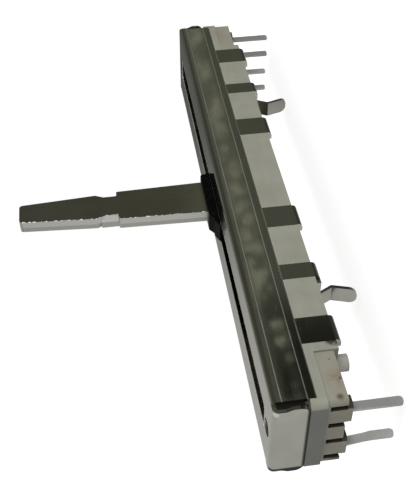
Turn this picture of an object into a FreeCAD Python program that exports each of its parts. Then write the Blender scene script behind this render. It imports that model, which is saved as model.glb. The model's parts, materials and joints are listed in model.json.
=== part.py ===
import FreeCAD, Part
import os
import re
import Sketcher
from FreeCAD import Placement, Rotation, Vector

# Slide potentiometer, 45 mm travel, two channels, for a circuit board.
# Frame: X along the travel, Y across the body, +Z up along the lever. The origin is on the board seat,
# under the middle of the body. "Front" is the -Y long side, "near" the -X end and "far" the +X end.

doc = FreeCAD.newDocument("slide_potentiometer")
sheet = doc.addObject("Spreadsheet::Sheet", "Sizes")

DRIVING = [
    ("body_length", 60.0, "cover, end to end"),
    ("body_width", 9.0, "cover, side to side"),
    ("cover_top", 7.2, "top face above the board seat"),
    ("sheet_gauge", 0.35, "cover sheet"),
    ("bend_inside", 0.2, "inside radius of the cover bends"),
    ("wall_depth", 3.65, "long wall, down from the top face"),
    ("wall_end_gap", 0.85, "long wall stops short of the body end"),
    ("flap_depth", 3.05, "end flap, down from the top face"),
    ("flap_overlap", 0.2, "end flap run into the top of the channel"),
    ("flap_root_inset", 0.35, "end flap in from the side of the cover at its bend"),
    ("flap_ear_inset", 0.1, "end flap in from the side below its ears"),
    ("flap_ear_top", 1.4, "ears start about this far below the top face"),
    ("flap_slant", 0.6, "height of the slanted edge above an ear"),
    ("flap_round", 0.8, "lower corners of an end flap"),
    ("slot_width", 2.5, "lever slot"),
    ("slot_play", 0.4, "slot beyond the stem at each end of the stroke"),
    ("slot_corner", 0.3, "slot corner radius"),
    ("screw_core", 1.6, "bore of the M2 tapped hole"),
    ("screw_bridge", 0.3, "sheet between the slot and a tapped hole"),
    ("end_margin", 0.9, "tapped hole from the end of the body"),
    ("collar_wall", 0.4, "wall of the drawn collar round the tapped hole"),
    ("collar_depth", 0.55, "drawn collar below the sheet"),
    ("tab_end", 7.85, "centre of the outer wide tabs from the end of the body"),
    ("tab_step", 7.1, "centre of the narrow tabs from the outer wide ones"),
    ("tab_gap", 7.55, "centre of the inner wide tabs from the narrow ones"),
    ("wide_tab", 2.8, "width of a wide tab"),
    ("narrow_tab", 1.8, "width of a narrow tab"),
    ("wide_tuck", 0.9, "wide tab folded under the base"),
    ("narrow_tuck", 1.5, "narrow tab folded under the base"),
    ("fold_gap", 0.15, "between a folded tab and the base"),
    ("tab_bend", 0.5, "outside radius of a folded tab"),
    ("leg_inset", 2.65, "snap leg centre from the side of the cover"),
    ("leg_beyond", 0.6, "near snap leg beyond the edge of its tab"),
    ("leg_within", 0.45, "far snap leg within the edge of its tab"),
    ("leg_width", 1.7, "snap leg"),
    ("leg_bend_drop", 0.1, "start of the lean below the folded tab"),
    ("leg_drop", 3.5, "snap leg tip below the board seat"),
    ("leg_kink_drop", 1.25, "snap leg kink below the board seat"),
    ("leg_lean", 0.6, "kink towards the middle of the body"),
    ("leg_flare", 0.7, "tip outwards from the kink"),
    ("leg_tip_radius", 0.7, "rounding of the leg tip"),
    ("standoff", 0.5, "base underside above the board seat"),
    ("fit_gap", 0.05, "between parts that drop into each other"),
    ("base_corner", 0.7, "vertical corners of the base"),
    ("band_rise", 0.6, "top of the end band above the shoulder of the base"),
    ("band_under", 0.8, "underside of the end band below the shoulder"),
    ("band_proud", 0.3, "end band beyond the block below it"),
    ("end_block", 5.2, "length of the stepped block at each end"),
    ("end_step", 0.2, "block set in from the sides of the base"),
    ("end_rise", 0.45, "block above the base underside"),
    ("comb_pitch", 2.25, "slots in the end face"),
    ("comb_slot", 0.6, "width of an end slot"),
    ("comb_drop", 0.3, "top of the end slots below the end band"),
    ("comb_deep", 1.3, "depth of the end slots"),
    ("foot_long", 1.4, "feet under the end blocks, along the body"),
    ("foot_wide", 2.4, "feet under the end blocks, across the body"),
    ("foot_corner", 0.5, "corner radius of a foot"),
    ("foot_inset", 1.0, "foot from the side of the base"),
    ("peg_inset", 7.4, "locating peg from the near end"),
    ("peg_diameter", 1.6, "locating peg"),
    ("peg_drop", 1.2, "locating peg below the board seat"),
    ("core_wall", 1.1, "moulding walls between the underside pockets"),
    ("core_deep", 1.8, "depth of the underside pockets"),
    ("rim_wall", 0.6, "rim of the base inside the cover"),
    ("rim_rise", 0.95, "rim above the shoulder of the base"),
    ("strip_gauge", 0.7, "element strip"),
    ("track_gauge", 0.06, "printed tracks"),
    ("strip_margin", 0.35, "carbon track from the side of the strip"),
    ("track_gap", 0.65, "between a carbon track and its collector track"),
    ("collector_wide", 0.8, "collector track"),
    ("track_middle", 1.3, "between the two collector tracks"),
    ("track_spare", 0.5, "track beyond the contact at each end of the stroke"),
    ("pad_wide", 1.5, "silver pad round an eyelet"),
    ("lead_wide", 0.6, "silver lead past the inner eyelet"),
    ("eyelet_row", 1.3, "eyelet centre from the middle plane"),
    ("pin_end", 0.95, "outer terminals from the body end"),
    ("pin_step", 3.8, "inner terminals from the outer ones"),
    ("pin_wide", 0.8, "terminal blade along the body"),
    ("pin_gauge", 0.3, "terminal sheet"),
    ("pin_drop_outer", 4.1, "far outer terminal tip below the board seat"),
    ("pin_drop_inner", 3.3, "far inner terminal tip below the board seat"),
    ("pin_drop_near", 3.9, "near terminal tip below the board seat"),
    ("lug_reach", 1.2, "eyelet centre in from the blade, across the body"),
    ("lug_shift", 0.7, "eyelet centre in from the blade, along the body"),
    ("lug_wide", 1.6, "lug round the eyelet"),
    ("lug_bend", 0.27, "outside radius of the bend between blade and lug"),
    ("pin_tip_radius", 0.3, "rounding of a terminal tip"),
    ("twist_turn", 40.0, "turn of the bent terminal, in degrees"),
    ("twist_drop", 1.9, "end of its twisted stretch below the board seat"),
    ("twist_lean", 0.3, "its tip off its root, towards the middle of the body"),
    ("eyelet_shank", 0.9, "eyelet shank"),
    ("eyelet_head", 1.4, "eyelet flange"),
    ("eyelet_gauge", 0.16, "eyelet flange thickness"),
    ("stem_length", 8.6, "slider stem in the slot"),
    ("stem_play", 0.2, "stem beside the slot edge"),
    ("stem_proud", 0.5, "stem above the top face"),
    ("stem_ramp", 0.9, "ramp at the near end of the stem"),
    ("stem_chamfer", 0.15, "chamfer at the far end of the stem"),
    ("overlap", 0.1, "features of one moulding run into each other"),
    ("slider_length", 12.0, "slider"),
    ("slider_play", 0.12, "slider beside the cover walls"),
    ("slider_float", 0.08, "slider below the cover and above the rim"),
    ("shoe_rise", 0.82, "shoes above the low roof of the slider"),
    ("slider_web", 0.85, "slider plate between its runners"),
    ("runner_wide", 0.5, "slider runners"),
    ("shoe_wide", 1.6, "raised shoes that glide under the cover"),
    ("stake_diameter", 0.7, "stakes that hold the contacts"),
    ("stake_head", 1.1, "heads of the stakes"),
    ("stake_rise", 0.18, "height of a stake head"),
    ("stake_pitch", 1.15, "between the two stakes of a contact"),
    ("contact_gauge", 0.12, "contact sheet"),
    ("contact_play", 0.02, "contact above its track at rest"),
    ("contact_plate", 2.3, "contact plate along the body"),
    ("contact_edge", 0.2, "contact plate beyond its outer fingers"),
    ("finger_wide", 0.24, "contact finger"),
    ("finger_pitch", 0.34, "contact fingers"),
    ("finger_reach", 3.6, "contact finger from its root to its bend"),
    ("finger_toe", 0.45, "upturned end of a finger"),
    ("finger_bend", 0.2, "half length of the bend where a finger touches its track"),
    ("spring_gauge", 0.12, "drag spring sheet"),
    ("spring_high", 0.9, "drag spring strip"),
    ("spring_half", 2.6, "half length of the drag spring"),
    ("spring_pocket", 0.55, "depth of the pocket for the drag spring"),
    ("spring_lift", 0.2, "lower edge of the drag spring above the slider underside"),
    ("spring_play", 0.03, "drag spring beside the cover wall as drawn"),
    ("lever_shift", 0.95, "lever ahead of the middle of the slider"),
    ("lever_gauge", 1.3, "lever sheet"),
    ("lever_root", 4.9, "lever width where it leaves the slot"),
    ("lever_waist", 4.35, "lever width below the notch"),
    ("notch_width", 2.95, "lever width in the notch"),
    ("shoulder_width", 3.75, "lever width above the notch"),
    ("tip_width", 2.65, "lever width at the tip"),
    ("notch_low", 10.2, "notch above the top face"),
    ("notch_high", 11.6, "upper end of the notch above the top face"),
    ("notch_ramp", 0.85, "ramp from the notch to the upper lever"),
    ("lever_high", 20.4, "lever tip above the top face"),
    ("lever_corner", 0.35, "corners of the lever tip"),
    ("lever_foot", 1.1, "lever sunk below the slider stem"),
]

DERIVED = [
    ("half_length", "body_length / 2"),
    ("half_width", "body_width / 2"),
    ("screw_x", "half_length - end_margin - screw_core / 2"),
    ("slot_half", "screw_x - screw_core / 2 - screw_bridge"),
    ("travel", "2 * (slot_half - slot_play) - stem_length"),
    ("inside", "half_width - sheet_gauge"),
    ("sheet_under", "cover_top - sheet_gauge"),
    ("wall_low", "cover_top - wall_depth"),
    ("wall_end", "half_length - wall_end_gap"),
    ("tab_outer", "half_length - tab_end"),
    ("tab_middle", "tab_outer - tab_step"),
    ("tab_inner", "tab_middle - tab_gap"),
    ("fold_low", "standoff - fold_gap - sheet_gauge"),
    ("leg_row", "half_width - leg_inset"),
    ("shoulder", "wall_low - fit_gap"),
    ("band_top", "shoulder + band_rise"),
    ("band_low", "shoulder - band_under"),
    ("block_low", "standoff + end_rise"),
    ("rim_outside", "inside - fit_gap"),
    ("rim_inside", "rim_outside - rim_wall"),
    ("rim_top", "shoulder + rim_rise"),
    ("strip_half", "wall_end - fit_gap"),
    ("strip_top", "shoulder + strip_gauge"),
    ("track_top", "strip_top + track_gauge"),
    ("track_half", "travel / 2 + track_spare"),
    ("collector_row", "(track_middle + collector_wide) / 2"),
    ("carbon_low", "collector_row + collector_wide / 2 + track_gap"),
    ("carbon_high", "rim_inside - fit_gap - strip_margin"),
    ("carbon_wide", "carbon_high - carbon_low"),
    ("carbon_row", "(carbon_low + carbon_high) / 2"),
    ("pin_row", "eyelet_row + lug_reach"),
    ("pin_x", "half_length - pin_end"),
    ("inner_pin_x", "pin_x - pin_step"),
    ("lug_under", "shoulder - pin_gauge"),
    ("slider_half", "slider_length / 2"),
    ("slider_side", "inside - slider_play"),
    ("slider_top", "sheet_under - slider_float"),
    ("slider_roof", "slider_top - shoe_rise"),
    ("slider_floor", "slider_roof - slider_web"),
    ("spring_low", "slider_floor + spring_lift"),
    ("runner_low", "rim_top + slider_float"),
    ("contact_under", "slider_floor - contact_gauge"),
    ("contact_touch", "track_top + contact_play"),
    ("contact_root", "finger_reach"),
    ("contact_row", "(carbon_row + collector_row) / 2"),
    ("contact_width", "carbon_row - collector_row + finger_pitch + finger_wide + 2 * contact_edge"),
    ("lever_bottom", "slider_top - lever_foot"),
    ("lever_tip", "cover_top + lever_high"),
]

for row, (name, size, meaning) in enumerate(DRIVING, 1):
    sheet.set("A%d" % row, name)
    sheet.set("B%d" % row, str(size))
    sheet.set("C%d" % row, meaning)
    sheet.setAlias("B%d" % row, name)
for row, (name, formula) in enumerate(DERIVED, len(DRIVING) + 1):
    sheet.set("A%d" % row, name)
    sheet.set("B%d" % row, "=" + formula)
    sheet.setAlias("B%d" % row, name)
doc.recompute()
NAMES = {entry[0] for entry in DRIVING + DERIVED}
PIECES = []


def tie(thing, prop, formula):
    """Bind a property to a formula of sheet names."""
    words = re.sub(r"[a-z_]+", lambda hit: ("Sizes." if hit.group() in NAMES else "") + hit.group(), formula)
    thing.setExpression(prop, words)


def size(name):
    return float(sheet.get(name))


def place(thing, x, y, z):
    for axis, formula in zip("xyz", (x, y, z)):
        tie(thing, "Placement.Base." + axis, formula)


def block(name, x, y, z):
    """Box between pairs of formulas."""
    box = doc.addObject("Part::Box", name)
    for prop, (low, high) in zip(("Length", "Width", "Height"), (x, y, z)):
        tie(box, prop, "(%s) - (%s)" % (high, low))
    place(box, x[0], y[0], z[0])
    return box


def rod(name, x, y, z, diameter):
    """Upright cylinder at x, y between the pair z."""
    pin = doc.addObject("Part::Cylinder", name)
    tie(pin, "Radius", "(%s) / 2" % diameter)
    tie(pin, "Height", "(%s) - (%s)" % (z[1], z[0]))
    place(pin, x, y, z[0])
    return pin


def joined(name, shapes):
    union = doc.addObject("Part::MultiFuse", name)
    union.Shapes = shapes
    union.Refine = True
    return union


def trimmed(name, base, tools):
    """Base with every tool cut away."""
    difference = doc.addObject("Part::Cut", name)
    difference.Base = base
    difference.Tool = tools[0] if len(tools) == 1 else joined(name + "_tools", tools)
    difference.Refine = True
    return difference


def shared(name, first, second):
    overlap = doc.addObject("Part::Common", name)
    overlap.Base = first
    overlap.Tool = second
    return overlap


def mirrored(name, source, normal):
    """Copy across a middle plane."""
    other = doc.addObject("Part::Mirroring", name)
    other.Source = source
    other.Normal = normal
    return other


ACROSS = Vector(1, 0, 0)
ALONG = Vector(0, 1, 0)
UPWARDS = Vector(0, 0, 1)


def parallel(edge, direction):
    if edge.Curve.TypeId != "Part::GeomLine":
        return False
    return abs(edge.tangentAt(edge.FirstParameter).dot(direction)) > 0.999


def eased(name, base, radius, wanted):
    """Base with the wanted edges rounded."""
    doc.recompute()
    soft = doc.addObject("Part::Fillet", name)
    soft.Base = base
    picked = [number for number, edge in enumerate(base.Shape.Edges, 1) if wanted(edge, edge.CenterOfMass)]
    soft.Edges = [(number, radius, radius) for number in picked]
    return soft


def outlined(sketch, corners):
    """Closed outline whose corners are tied to the sheet."""
    count = len(corners)
    for number in range(count):
        start = Rotation(Vector(0, 0, 1), 360 * number / count).multVec(ACROSS)
        end = Rotation(Vector(0, 0, 1), 360 * (number + 1) / count).multVec(ACROSS)
        sketch.addGeometry(Part.LineSegment(start, end), False)
    for number in range(count):
        sketch.addConstraint(Sketcher.Constraint("Coincident", number, 2, (number + 1) % count, 1))
    for number, (right, up) in enumerate(corners):
        for kind, formula in (("DistanceX", right), ("DistanceY", up)):
            at = sketch.getPoint(number, 1)
            now = at.x if kind == "DistanceX" else at.y
            index = sketch.addConstraint(Sketcher.Constraint(kind, -1, 1, number, 1, now))
            tie(sketch, "Constraints[%d]" % index, formula)


TURNS = {
    "XY": Rotation(),
    "XZ": Rotation(ACROSS, Vector(0, 0, 1), Vector(0, -1, 0), "XYZ"),
    "YZ": Rotation(ALONG, Vector(0, 0, 1), ACROSS, "XYZ"),
}
NORMALS = {"XY": Vector(0, 0, 1), "XZ": ALONG, "YZ": ACROSS}


def slab(name, plane, corners, low, high):
    """Outline in a plane, extruded between two places along the plane's normal axis."""
    sketch = doc.addObject("Sketcher::SketchObject", name + "_outline")
    sketch.Placement = Placement(Vector(), TURNS[plane])
    outlined(sketch, corners)
    tie(sketch, "Placement.Base." + {"XY": "z", "XZ": "y", "YZ": "x"}[plane], low)
    solid = doc.addObject("Part::Extrusion", name)
    solid.Base = sketch
    solid.DirMode = "Custom"
    solid.Dir = NORMALS[plane]
    solid.Solid = True
    tie(solid, "LengthFwd", "(%s) - (%s)" % (high, low))
    return solid


def new_body(label):
    body = doc.addObject("PartDesign::Body", label)
    body.Label = label
    return body


def drawn(body, name, plane, corners, away="0"):
    """Outline on one of the body's own origin planes, moved along its normal."""
    sketch = body.newObject("Sketcher::SketchObject", name)
    support = [feature for feature in body.Origin.OriginFeatures if feature.Role == plane + "_Plane"][0]
    sketch.AttachmentSupport = [(support, "")]
    sketch.MapMode = "FlatFace"
    tie(sketch, "AttachmentOffset.Base.z", away)
    outlined(sketch, corners)
    return sketch


def grown(body, kind, name, sketch, length, side="One side", backwards=False):
    """Pad or pocket of an outline."""
    feature = body.newObject("PartDesign::" + kind, name)
    feature.Profile = sketch
    feature.SideType = side
    feature.Reversed = backwards
    tie(feature, "Length", length)
    return feature


def rounded(body, name, base, radius, wanted):
    """Fillet on the wanted edges of a feature of the body."""
    doc.recompute()
    edges = base.Shape.Edges
    picked = ["Edge%d" % number for number, edge in enumerate(edges, 1) if wanted(edge, edge.CenterOfMass)]
    feature = body.newObject("PartDesign::Fillet", name)
    feature.Base = (base, picked)
    tie(feature, "Radius", radius)
    return feature


def piece(label, shape):
    """Name a finished piece."""
    shape.Label = label
    PIECES.append(shape)


def rectangle(x, y):
    return [(x[0], y[0]), (x[1], y[0]), (x[1], y[1]), (x[0], y[1])]


# Cover: one folded and nickel plated steel sheet. A channel over the whole length, a flap folded down at
# each end, six tabs a side crimped under the base, and two snap legs bent from the front narrow tabs.
channel = slab("channel", "YZ", [
    ("-half_width", "wall_low"), ("-half_width", "cover_top"), ("half_width", "cover_top"),
    ("half_width", "wall_low"), ("inside", "wall_low"), ("inside", "sheet_under"),
    ("-inside", "sheet_under"), ("-inside", "wall_low")], "-wall_end", "wall_end")
inside_bend = eased("channel_inside", channel, size("bend_inside"), lambda edge, at:
                    parallel(edge, ACROSS) and abs(at.z - size("sheet_under")) < 1e-6)
outside_bend = eased("channel_bent", inside_bend, size("bend_inside") + size("sheet_gauge"), lambda edge, at:
                     parallel(edge, ACROSS) and abs(at.z - size("cover_top")) < 1e-6)

FLAP_EDGE = [
    ("half_width - flap_ear_inset", "cover_top - flap_depth"),
    ("half_width - flap_ear_inset", "cover_top - flap_ear_top - flap_slant / 2"),
    ("half_width - flap_root_inset", "cover_top - flap_ear_top + flap_slant / 2"),
    ("half_width - flap_root_inset", "cover_top")]
flap_blank = slab("flap_blank", "YZ", [("-(%s)" % half, z) for half, z in FLAP_EDGE] + FLAP_EDGE[::-1],
                  "wall_end", "half_length")
flap_plate = eased("flap_plate", flap_blank, size("flap_round"), lambda edge, at:
                   parallel(edge, ACROSS) and at.z < size("cover_top") - size("flap_depth") + 1e-6)
flap_strip = slab("flap_strip", "XZ", [
    ("wall_end - flap_overlap", "cover_top"), ("half_length", "cover_top"),
    ("half_length", "cover_top - flap_depth"), ("half_length - sheet_gauge", "cover_top - flap_depth"),
    ("half_length - sheet_gauge", "sheet_under"),
    ("wall_end - flap_overlap", "sheet_under")], "-half_width", "half_width")
flap_inside = eased("flap_inside", flap_strip, size("bend_inside"), lambda edge, at:
                    parallel(edge, ALONG) and abs(at.z - size("sheet_under")) < 1e-6
                    and at.x > size("wall_end"))
flap_bent = eased("flap_bent", flap_inside, size("bend_inside") + size("sheet_gauge"), lambda edge, at:
                  parallel(edge, ALONG) and abs(at.z - size("cover_top")) < 1e-6
                  and at.x > size("wall_end"))
flap_corner = block("flap_corner", ("wall_end - 1", "half_length - sheet_gauge - bend_inside"),
                    ("-half_width + flap_root_inset", "half_width - flap_root_inset"),
                    ("sheet_under - 1", "cover_top + 1"))
flap_shape = joined("flap_shape", [flap_plate, flap_corner])
far_flap = shared("far_flap", flap_bent, flap_shape)
near_flap = mirrored("near_flap", far_flap, ACROSS)


def tab(name, x, width, tuck):
    """Front tab: down the side of the base and folded under it."""
    hook = slab(name + "_hook", "YZ", [
        ("-half_width", "wall_low + sheet_gauge"), ("-half_width", "fold_low"),
        ("-half_width + " + tuck, "fold_low"), ("-half_width + " + tuck, "fold_low + sheet_gauge"),
        ("-inside", "fold_low + sheet_gauge"),
        ("-inside", "wall_low + sheet_gauge")], "%s - %s / 2" % (x, width), "%s + %s / 2" % (x, width))
    return eased(name + "_folded", hook, size("tab_bend"), lambda edge, at: parallel(edge, ACROSS)
                 and at.z < size("fold_low") + 1e-6 and at.y < -size("half_width") + 1e-6)


tabs = []
for name, x, width, tuck in (("outer_tab", "tab_outer", "wide_tab", "wide_tuck"),
                             ("narrow_tab_arm", "tab_middle", "narrow_tab", "narrow_tuck"),
                             ("inner_tab", "tab_inner", "wide_tab", "wide_tuck")):
    front_far = tab(name, x, width, tuck)
    front_near = mirrored(name + "_near", front_far, ACROSS)
    tabs += [front_far, front_near]
    tabs += [mirrored(name + "_rear_far", front_far, ALONG), mirrored(name + "_rear_near", front_near, ALONG)]

# Snap legs: each front narrow tab runs on under the base, and its edge towards the near end turns down into a
# leg. A leg leans to the middle of the body down to its kink, and from there its tip flares away.
def snap_leg(name, tab_x, edge, lean):
    root = block(name + "_root", (edge, "%s + narrow_tab / 2" % tab_x),
                 ("-half_width + sheet_gauge", "-leg_row + leg_width / 2"),
                 ("fold_low", "fold_low + sheet_gauge"))
    kink = "%s %s leg_lean" % (edge, lean)
    tip = "%s %s (leg_lean - leg_flare)" % (edge, lean)
    strip = slab(name + "_strip", "XZ", [
        (edge, "fold_low + sheet_gauge"), (edge + " + sheet_gauge", "fold_low + sheet_gauge"),
        (edge + " + sheet_gauge", "fold_low - leg_bend_drop"), (kink + " + sheet_gauge", "-leg_kink_drop"),
        (tip + " + sheet_gauge", "-leg_drop"), (tip, "-leg_drop"), (kink, "-leg_kink_drop"),
        (edge, "fold_low - leg_bend_drop")], "-leg_row - leg_width / 2", "-leg_row + leg_width / 2")
    soft = eased(name + "_soft", strip, size("leg_tip_radius"), lambda edge, at:
                 parallel(edge, ACROSS) and at.z < -size("leg_drop") + 1e-6)
    return joined(name, [root, soft])


far_leg = snap_leg("far_leg", "tab_middle", "tab_middle - narrow_tab / 2 + leg_within", "-")
near_leg = snap_leg("near_leg", "-tab_middle", "-tab_middle - narrow_tab / 2 - leg_beyond", "+")

collars = [rod("collar_" + end, sign + "screw_x", "0", ("sheet_under - collar_depth", "sheet_under"),
               "screw_core + 2 * collar_wall") for end, sign in (("far", ""), ("near", "-"))]
blank = joined("cover_blank", [outside_bend, far_flap, near_flap, far_leg, near_leg] + tabs + collars)
slot_block = block("slot_block", ("-slot_half", "slot_half"), ("-slot_width / 2", "slot_width / 2"),
                   ("sheet_under - 1", "cover_top + 1"))
slot = eased("slot", slot_block, size("slot_corner"), lambda edge, at: parallel(edge, UPWARDS))
bores = [rod("bore_" + end, sign + "screw_x", "0", ("sheet_under - 2", "cover_top + 1"), "screw_core")
         for end, sign in (("far", ""), ("near", "-"))]
cover = trimmed("cover_punched", blank, [slot] + bores)
piece("cover", cover)

# Base: one off-white moulding. Its lower half is as wide as the cover, the cover walls stand on its
# shoulder, and a rim inside the cover holds the element strip.
ends = (("far", "", "half_length"), ("near", "-", "half_length"))
floor_block = block("floor_block", ("-half_length + band_proud", "half_length - band_proud"),
                    ("-half_width", "half_width"), ("standoff", "shoulder"))
floor_soft = eased("floor_soft", floor_block, size("base_corner"), lambda edge, at: parallel(edge, UPWARDS))
parts = [floor_soft]
cuts = []


def both_ends(name, maker):
    """A feature of the far end and its mirror image at the near end."""
    far = maker(name + "_far")
    return [far, mirrored(name + "_near", far, ACROSS)]


def both_sides(name, maker):
    """A feature of the front half and its mirror image in the rear half."""
    front = maker(name + "_front")
    return [front, mirrored(name + "_rear", front, ALONG)]


def end_band(name):
    bar = block(name + "_bar", ("wall_end + fit_gap", "half_length"), ("-half_width", "half_width"),
                ("band_low", "band_top"))
    return eased(name, bar, size("base_corner"), lambda edge, at:
                 parallel(edge, UPWARDS) and at.x > size("half_length") - 1e-6)


def foot(name):
    pad = block(name + "_pad", ("half_length - band_proud - foot_long", "half_length - band_proud"),
                ("-half_width + foot_inset", "-half_width + foot_inset + foot_wide"),
                ("standoff", "block_low"))
    return eased(name, pad, size("foot_corner"), lambda edge, at: parallel(edge, UPWARDS))


def end_side_step(name):
    return block(name, ("half_length - band_proud - end_block", "half_length + 1"),
                 ("-half_width - 1", "-half_width + end_step"), ("-1", "band_low"))


def end_under_step(name):
    return block(name, ("half_length - band_proud - end_block", "half_length + 1"),
                 ("-half_width - 1", "half_width + 1"), ("-1", "block_low"))


parts += both_ends("end_band", end_band)
for feature in both_sides("foot_far", foot):
    parts += [feature, mirrored(feature.Name + "_near", feature, ACROSS)]
parts.append(rod("peg", "-half_length + peg_inset", "0", ("-peg_drop", "standoff"), "peg_diameter"))
rim_block = block("rim_block", ("-strip_half", "strip_half"), ("-rim_outside", "rim_outside"),
                  ("shoulder - overlap", "rim_top"))
rim_hollow = block("rim_hollow", ("-strip_half - 1", "strip_half + 1"), ("-rim_inside", "rim_inside"),
                   ("shoulder", "rim_top + 1"))
parts.append(trimmed("rim", rim_block, [rim_hollow]))

under_steps = both_ends("end_under_step", end_under_step)
stepped = trimmed("floor_stepped", floor_soft, under_steps)
parts[0] = stepped
for feature in both_sides("end_side_step", end_side_step):
    cuts += [feature, mirrored(feature.Name + "_near", feature, ACROSS)]
for number in range(4):
    row = "(%s) * comb_pitch" % (number - 1.5)

    def comb_slot(name):
        return block(name, ("half_length - band_proud - comb_deep", "half_length + 1"),
                     (row + " - comb_slot / 2", row + " + comb_slot / 2"),
                     ("block_low", "band_low - comb_drop"))
    cuts += both_ends("comb_%d" % number, comb_slot)
for name, x, width, tuck in (("outer", "tab_outer", "wide_tab", "wide_tuck"),
                             ("middle", "tab_middle", "narrow_tab", "narrow_tuck"),
                             ("inner", "tab_inner", "wide_tab", "wide_tuck")):
    def channel_cut(label):
        return block(label, ("%s - %s / 2 - fit_gap" % (x, width), "%s + %s / 2 + fit_gap" % (x, width)),
                     ("-half_width - 1", "-inside + fit_gap"), ("-1", "shoulder + 1"))
    for feature in both_sides(name + "_channel", channel_cut):
        cuts += [feature, mirrored(feature.Name + "_near", feature, ACROSS)]

# Underside pockets between the tabs, as a thick moulding is cored out.
pocket_rows = (("core_wall / 2", "tab_inner - wide_tab / 2 - core_wall"),
               ("tab_inner + wide_tab / 2 + core_wall / 2", "tab_middle - narrow_tab / 2 - core_wall / 2"),
               ("tab_middle + narrow_tab / 2 + core_wall", "tab_outer - wide_tab / 2 - core_wall / 2"))
for number, span in enumerate(pocket_rows):
    def core(label):
        return block(label, span, ("-inside + core_wall", "inside - core_wall"),
                     ("standoff - 1", "standoff + core_deep"))
    cuts += both_ends("core_%d" % number, core)

# Six terminals, three a side: label, side, place of the blade, length of the blade, way to the middle.
TERMINALS = [
    ("terminal_near_front", "-", "-pin_x", "pin_drop_near", "+"),
    ("terminal_near_rear", "", "-pin_x", "pin_drop_near", "+"),
    ("terminal_far_front_outer", "-", "pin_x", "pin_drop_outer", "-"),
    ("terminal_far_rear_outer", "", "pin_x", "pin_drop_outer", "-"),
    ("terminal_far_front_inner", "-", "inner_pin_x", "pin_drop_inner", "-"),
    ("terminal_far_rear_inner", "", "inner_pin_x", "pin_drop_inner", "-"),
]


def ordered(side, low, high):
    """Pair of distances from the middle plane, for the rear half or mirrored to the front half."""
    return (low, high) if side == "" else ("-(%s)" % high, "-(%s)" % low)


def lug_span(x, way, spare):
    """Lug along the body: from the outer edge of the blade to beyond the eyelet."""
    outer = "%s %s (-pin_wide / 2 - %s)" % (x, way, spare)
    inner = "%s %s (lug_shift + lug_wide / 2 + %s)" % (x, way, spare)
    return (outer, inner) if way == "+" else (inner, outer)


def eyelet_place(side, x, way):
    return "%s %s lug_shift" % (x, way), side + "eyelet_row"


# Each terminal drops into a seat in the shoulder: its lug lies under the strip, its blade goes down a slit.
for label, side, x, drop, way in TERMINALS:
    blade_x = ("%s - pin_wide / 2 - fit_gap" % x, "%s + pin_wide / 2 + fit_gap" % x)
    cuts.append(block(label + "_slit", blade_x,
                      ordered(side, "pin_row - pin_gauge / 2 - fit_gap", "pin_row + pin_gauge / 2 + fit_gap"),
                      ("-1", "shoulder + 1")))
    cuts.append(block(label + "_seat", lug_span(x, way, "fit_gap"),
                      ordered(side, "eyelet_row - lug_wide / 2 - fit_gap",
                              "pin_row + pin_gauge / 2 + fit_gap"),
                      ("lug_under - eyelet_gauge - fit_gap", "shoulder + 1")))
base = trimmed("base_cut", joined("base_solid", parts), cuts)
piece("base_moulding", base)


def circled(body, name, x, y, diameter, away):
    """Circle in a level plane of a body."""
    sketch = body.newObject("Sketcher::SketchObject", name)
    support = [feature for feature in body.Origin.OriginFeatures if feature.Role == "XY_Plane"][0]
    sketch.AttachmentSupport = [(support, "")]
    sketch.MapMode = "FlatFace"
    tie(sketch, "AttachmentOffset.Base.z", away)
    sketch.addGeometry(Part.Circle(Vector(), Vector(0, 0, 1), 1), False)
    for kind, formula in (("DistanceX", x), ("DistanceY", y), ("Radius", "(%s) / 2" % diameter)):
        if kind == "Radius":
            index = sketch.addConstraint(Sketcher.Constraint(kind, 0, 1))
        else:
            index = sketch.addConstraint(Sketcher.Constraint(kind, -1, 1, 0, 3, 0))
        tie(sketch, "Constraints[%d]" % index, formula)
    return sketch


def turned(body, name, x, y, z, turn):
    """Section of a blade, level and turned about its own middle."""
    sketch = body.newObject("Sketcher::SketchObject", name)
    support = [feature for feature in body.Origin.OriginFeatures if feature.Role == "XY_Plane"][0]
    sketch.AttachmentSupport = [(support, "")]
    sketch.MapMode = "FlatFace"
    sketch.AttachmentOffset = Placement(Vector(), Rotation(Vector(0, 0, 1), -1))
    for axis, formula in zip("xyz", (x, y, z)):
        tie(sketch, "AttachmentOffset.Base." + axis, formula)
    tie(sketch, "AttachmentOffset.Rotation.Angle", turn)
    outlined(sketch, rectangle(("-pin_wide / 2", "pin_wide / 2"), ("-pin_gauge / 2", "pin_gauge / 2")))
    return sketch


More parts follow.
